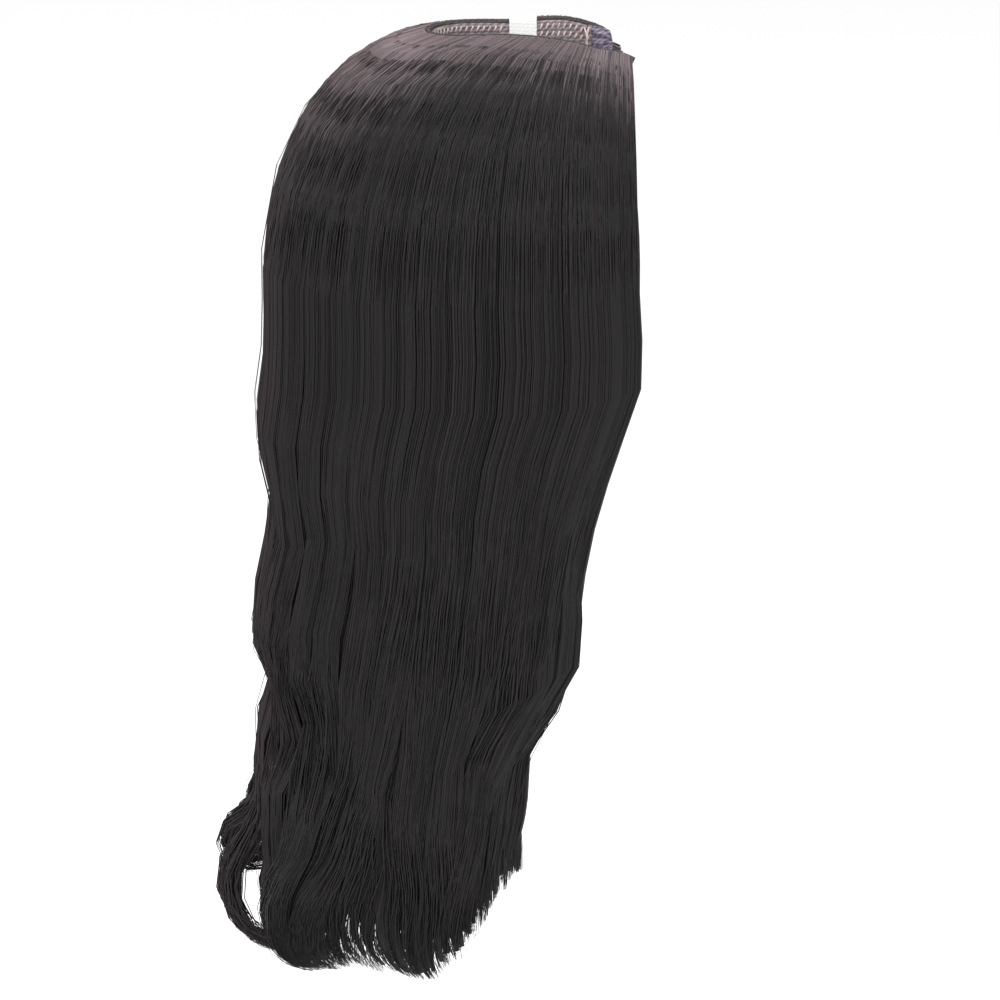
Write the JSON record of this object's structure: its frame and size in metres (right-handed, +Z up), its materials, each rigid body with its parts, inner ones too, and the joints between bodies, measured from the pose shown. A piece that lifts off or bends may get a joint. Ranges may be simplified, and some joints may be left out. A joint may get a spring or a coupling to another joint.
{
  "type": "half wig",
  "caption": "Half wig of long dark hair on an open net cap, with a U-shaped opening on top, straight curtains at the sides and back, and ends that turn under.",
  "frame": {"origin": "point of the crown where the head meets the inside of the cap, on the middle line just behind the opening", "axes": "+Z up with the wearer's head upright, the face towards -Y, the wearer's left towards +X"},
  "size_m": [0.1892, 0.1903, 0.457],
  "materials": {
    "hair": "long straight near-black hair with a soft sheen",
    "cap_net": "matt stretch net",
    "binding": "woven ribbon",
    "elastic": "matt woven elastic",
    "stitching": "machine-stitched weft",
    "gathered_net": "matt gathered net",
    "label_satin": "plain satin"
  },
  "bodies": {
    "root": {"cap_net": "cap_net", "opening_binding": "binding", "nape_band": "elastic", "front_band_right": "elastic", "front_band_left": "elastic", "weft_track_1": "stitching", "weft_track_2": "stitching", "weft_track_3": "stitching", "weft_track_4": "stitching", "weft_track_5": "stitching", "corner_fold_right": "gathered_net", "corner_fold_left": "gathered_net", "blank_label": "label_satin", "hair_side_right": "hair", "hair_back": "hair", "hair_side_left": "hair"}
  },
  "joints": []
}
